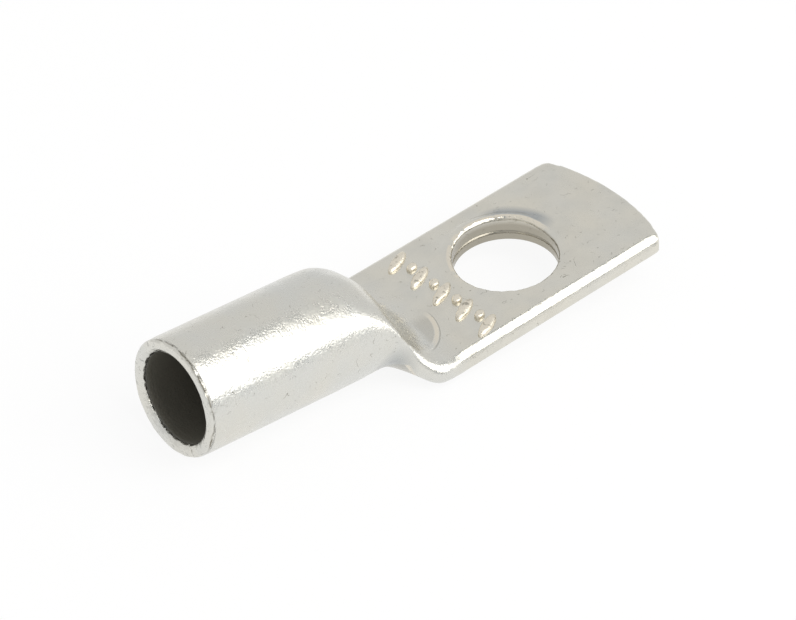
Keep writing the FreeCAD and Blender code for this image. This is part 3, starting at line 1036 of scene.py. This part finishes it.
def barrel_inside(tree, spot):
    """Inside the barrel the plate is thin and duller, and its dark colour is partly painted shade. The mouth's
    bevel and the tongue's outside stay clear.
    """
    inside = add_node(tree, RANGE, [spot.off_tube, BORE_RADIUS + 0.1 * MM, BORE_RADIUS + 0.02 * MM, 0.0, 1.0])
    under_crown = add_node(tree, MATH, [spot.x, spot.z], operation="ADD")
    bore_end = BORE_DEPTH + BORE_RADIUS
    not_tongue = add_node(tree, RANGE, [under_crown, bore_end + 0.6 * MM, bore_end, 0.0, 1.0])
    past_bevel = add_node(tree, RANGE, [spot.x, 0.28 * MM, 0.36 * MM, 0.0, 1.0])
    for share in (not_tongue, past_bevel):
        inside = add_node(tree, MATH, [inside, share], operation="MULTIPLY")
    return inside


def tin_plate(finish):
    """Matt tin plated on drawn copper tube: a pale warm metal with the bath's grain and fine scratches, with
    painted shade, reflection and highlights.
    """
    material, tree, shader = new_material("electroplated_tin")
    spot = plate_places(tree)
    patterns = plate_patterns(tree, spot.place)
    scratches = curly_scratches(tree, patterns)
    relief = {"Distance": finish.grain_depth, "Strength": 1.0}
    relief["Height"] = plate_relief(tree, spot, patterns, scratches)
    tree.links.new(add_node(tree, "ShaderNodeBump", relief), shader.inputs["Normal"])

    # The layers over the plain tin, from the bottom up. The wear one begins with pits, at the grain's peaks
    pale, shaded, edge = crescent_light_and_shade(tree, spot)
    wear_and_shade = add_node(tree, RANGE, [patterns.grain, 0.7, 0.8, 0.0, 0.35])
    # Painted shade joins the wear here: the dark line at the mouth's burr and the line beside the crescent
    for share in (fold_rub(tree, spot, patterns), scratches, burr_shade_line(tree, spot, patterns), edge):
        wear_and_shade = add_node(tree, MATH, [wear_and_shade, share], operation="MAXIMUM")
    in_barrel = barrel_inside(tree, spot)
    # Wear with painted shade, painted bluish reflection and shade, darker painted shade, painted highlights,
    # then the bore's colour with painted shade
    layers = (
        (wear_and_shade, finish.wear_and_shade_tin),
        # Painted bluish reflection and shade behind the lip and in the neck, and the palm's clouds
        (shade_and_clouds(tree, spot), finish.bluish_shade_and_cloud_tin),
        # Painted shade on the hole's wall and inside the crescent
        (add_node(tree, MATH, [wall_shade(tree, spot), shaded], operation="MAXIMUM"), finish.dark_shade_tin),
        # Painted highlights on the crescent's ridge and on the lip's inner edge
        (add_node(tree, MATH, [pale, lip_highlight(tree, spot, patterns)], operation="MAXIMUM"), finish.pale_tin),
        # The bore's duller metal, its colour partly painted shade
        (in_barrel, finish.bore_and_shade_colour),
    )

    # The tube's plate is cooler and rougher than the palm's
    tube_part = add_node(tree, RANGE, [spot.x, TUBE_PLATE_END * MM, PALM_PLATE_START * MM, 0.5, 0.0])
    cool = add_node(tree, RANGE, [patterns.waves, 0.3, 0.7, 0.0, 0.5])
    cool = add_node(tree, MATH, [cool, tube_part], operation="ADD")
    tin = linear(finish.warm_tin)
    for share, tone in ((cool, finish.cool_tin), *layers):
        tones = {MIX_SHARE: share, MIX_UNDER: tin, MIX_OVER: linear(tone)}
        tin = add_node(tree, MIX, tones, MIX_RESULT, data_type="RGBA")
    tree.links.new(tin, shader.inputs["Base Color"])
    metallic = add_node(tree, RANGE, [in_barrel, 0.0, 1.0, 1.0, BORE_METALLIC])
    tree.links.new(metallic, shader.inputs["Metallic"])
    low = finish.plate_roughness - ROUGHNESS_SPREAD
    high = finish.plate_roughness + ROUGHNESS_SPREAD
    rough = add_node(tree, RANGE, [patterns.mottle, 0.3, 0.7, low, high])
    rough = add_node(tree, MATH, [tube_part, TUBE_ROUGHER, rough], operation="MULTIPLY_ADD")
    rough = add_node(tree, MATH, [in_barrel, BORE_ROUGHER, rough], operation="MULTIPLY_ADD")
    tree.links.new(rough, shader.inputs["Roughness"])
    return material


def rubbed_plate(finish):
    """The same tin on the raised marks, which the press has rubbed: paler and duller than the palm."""
    material, tree, shader = new_material("pale_tin")
    place = add_node(tree, "ShaderNodeTexCoord", output="Object")
    grain = add_node(tree, NOISE, {"Vector": place, "Scale": per_mm(0.3), "Detail": 2.0})
    relief = {"Height": grain, "Distance": 2 * finish.grain_depth, "Strength": 1.0}
    tree.links.new(add_node(tree, "ShaderNodeBump", relief), shader.inputs["Normal"])
    patches = add_node(tree, RANGE, [grain, 0.3, 0.42, 0.3, 1.0])
    tones = {MIX_SHARE: patches, MIX_UNDER: linear(finish.wear_and_shade_tin), MIX_OVER: linear(finish.pale_tin)}
    tree.links.new(add_node(tree, MIX, tones, MIX_RESULT, data_type="RGBA"), shader.inputs["Base Color"])
    shader.inputs["Metallic"].default_value = 1.0
    shader.inputs["Roughness"].default_value = 0.42
    return material


class LUG_OT_finish(bpy.types.Operator):
    """Give every piece its tin plate"""

    bl_idname = "lug.finish"
    bl_label = "Tin Plate"

    def execute(self, context):
        tin = tin_plate(context.scene.lug_tin)
        finishes = {"plated_skin": tin, "mouth_edge": tin, "stud_hole_rim": tin}
        finishes["raised_marks"] = rubbed_plate(context.scene.lug_tin)
        for name, finish in finishes.items():
            piece = bpy.data.objects[name]
            piece.data.materials.clear()
            piece.data.materials.append(finish)
        return {"FINISHED"}


# The studio

# The point that the softboxes face and their turn, then their places from it and their sizes, in metres
SHOULDER = Vector((0.012, 0, 0))
FACING = Matrix.Rotation(math.radians(43.5), 4, "X")
FRONT_PLACE = Vector((0.15, 0, 0.6))
FRONT_SIZE = (0.54, 0.78)
SIDE_PLACE = Vector((0.95, -0.16, 0.6))
SIDE_SIZE = (1.06, 0.46)
CARD_PLACE = FRONT_PLACE + Vector((0, 0, 0.01))
CARD_SIZE = (0.86, 1.1)
FLOOR_SIZE = 6
DAYLIGHT = (1.0, 0.97, 0.93)

# The camera at which the solid covers the picture: azimuth, elevation and roll, its place and its lens
CAMERA_ANGLES = (-41.856, 35.888, 2.176)
CAMERA_PLACE = Vector((-113.918, -146.583, 141.071)) * MM
CAMERA_LENS = 180.904
CAMERA_SENSOR = 36
CAMERA_NEAR = 0.01
CAMERA_FAR = 20


def studio_floor(studio):
    """A plain pale floor that reads white to the camera and in the metal, and keeps the lug's shadow."""
    material, tree, shader = new_material("white_sweep")
    shader.inputs["Base Color"].default_value = linear("F6F6F6")
    shader.inputs["Roughness"].default_value = 0.9
    shader.inputs["Specular IOR Level"].default_value = 0.0
    seen = 0.0
    for kind in ("Is Camera Ray", "Is Glossy Ray", "Is Transmission Ray"):
        ray = add_node(tree, "ShaderNodeLightPath", output=kind)
        seen = add_node(tree, MATH, [seen, ray], operation="MAXIMUM")
    share = add_node(tree, MATH, [seen, studio.floor_lift], operation="MULTIPLY")
    white = add_node(tree, "ShaderNodeEmission", {"Color": linear("FFFFFF"), "Strength": 1.0})
    mix = add_node(tree, "ShaderNodeMixShader", [share, shader.outputs["BSDF"], white])
    tree.links.new(mix, tree.nodes["Material Output"].inputs["Surface"])
    return material


def grey_card():
    """Dull cool grey card: the front softbox's frame, which puts a soft dark line round its reflection."""
    material, _, shader = new_material("grey_card")
    shader.inputs["Base Color"].default_value = linear("6E7A84")
    shader.inputs["Roughness"].default_value = 0.9
    shader.inputs["Specular IOR Level"].default_value = 0.0
    return material


def softbox(name, offset, size, power):
    """A softbox as a rectangular lamp that faces the lug's shoulder from the front."""
    data = bpy.data.lights.new(name, "AREA")
    data.shape = "RECTANGLE"
    data.size, data.size_y = size
    data.energy = power
    data.color = DAYLIGHT
    lamp = bpy.data.objects.new(name, data)
    lamp.matrix_world = Matrix.Translation(SHOULDER + FACING @ offset) @ FACING
    bpy.context.scene.collection.objects.link(lamp)
    lamp.visible_camera = False


def window_frame():
    """The grey card that the front softbox is set in."""
    bpy.ops.object.select_all(action="DESELECT")
    behind = SHOULDER + FACING @ CARD_PLACE
    bpy.ops.mesh.primitive_plane_add(size=1, location=behind, rotation=FACING.to_euler())
    card = bpy.context.active_object
    card.name = "window_frame"
    card.scale = (*CARD_SIZE, 1)
    bpy.ops.object.transform_apply(location=True, rotation=True, scale=True)
    card.data.materials.append(grey_card())
    card.visible_camera = False


def picture_camera():
    """The camera at the picture's angle and place."""
    azimuth, elevation, roll = (math.radians(angle) for angle in CAMERA_ANGLES)
    right = Vector((math.cos(azimuth), math.sin(azimuth), 0))
    level_back = Vector((math.sin(azimuth), -math.cos(azimuth), 0))
    back = level_back * math.cos(elevation) + Vector((0, 0, math.sin(elevation)))
    up = back.cross(right)
    rolled_right = right * math.cos(roll) + up * math.sin(roll)
    rolled_up = up * math.cos(roll) - right * math.sin(roll)
    turn = Matrix((rolled_right, rolled_up, back)).transposed().to_4x4()
    data = bpy.data.cameras.new("picture_camera")
    data.sensor_width = CAMERA_SENSOR
    data.lens = CAMERA_LENS
    data.clip_start = CAMERA_NEAR
    data.clip_end = CAMERA_FAR
    camera = bpy.data.objects.new("picture_camera", data)
    camera.matrix_world = Matrix.Translation(CAMERA_PLACE) @ turn
    bpy.context.scene.collection.objects.link(camera)
    bpy.context.scene.camera = camera


class LUG_OT_studio(bpy.types.Operator):
    """Set the floor, the light and the camera"""

    bl_idname = "lug.studio"
    bl_label = "Studio"

    def execute(self, context):
        studio = context.scene.lug_studio
        scene = context.scene
        scene.view_settings.view_transform = "Standard"
        bpy.ops.object.select_all(action="DESELECT")
        bpy.ops.mesh.primitive_plane_add(size=FLOOR_SIZE, location=(0, 0, LOW.z))
        floor = context.active_object
        floor.name = "studio_floor"
        bpy.ops.object.transform_apply(location=True, rotation=True, scale=True)
        floor.data.materials.append(studio_floor(studio))
        world = bpy.data.worlds.new("white_tent")
        world.use_nodes = True
        background = world.node_tree.nodes["Background"]
        background.inputs["Color"].default_value = (1, 1, 1, 1)
        background.inputs["Strength"].default_value = studio.room_level
        scene.world = world
        softbox("front_window", FRONT_PLACE, FRONT_SIZE, studio.window_power)
        softbox("side_window", SIDE_PLACE, SIDE_SIZE, studio.side_power)
        window_frame()
        picture_camera()
        return {"FINISHED"}


# The add-on


class LUG_PT_panel(bpy.types.Panel):
    bl_label = "Tube Lug"
    bl_idname = "LUG_PT_panel"
    bl_space_type = "VIEW_3D"
    bl_region_type = "UI"
    bl_category = "Tube Lug"

    def draw(self, context):
        layout = self.layout
        for settings in (context.scene.lug_skin, context.scene.lug_tin, context.scene.lug_studio):
            box = layout.box()
            for name in settings.__annotations__:
                box.prop(settings, name)
        for step in STEPS:
            layout.operator(step.bl_idname)


SETTINGS = {"lug_skin": LugSkinSettings, "lug_tin": TinSettings, "lug_studio": StudioSettings}
STEPS = (LUG_OT_skin, LUG_OT_edges, LUG_OT_marks, LUG_OT_finish, LUG_OT_studio)
CLASSES = (*SETTINGS.values(), *STEPS, LUG_PT_panel)


def register():
    for cls in CLASSES:
        bpy.utils.register_class(cls)
    for name, group in SETTINGS.items():
        setattr(bpy.types.Scene, name, PointerProperty(type=group))


def unregister():
    for name in SETTINGS:
        delattr(bpy.types.Scene, name)
    for cls in reversed(CLASSES):
        bpy.utils.unregister_class(cls)


def main():
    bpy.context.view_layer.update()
    register()
    bpy.ops.lug.skin()
    bpy.ops.lug.edges()
    bpy.ops.lug.marks()
    bpy.ops.lug.finish()
    bpy.ops.lug.studio()


if __name__ == "__main__":
    main()
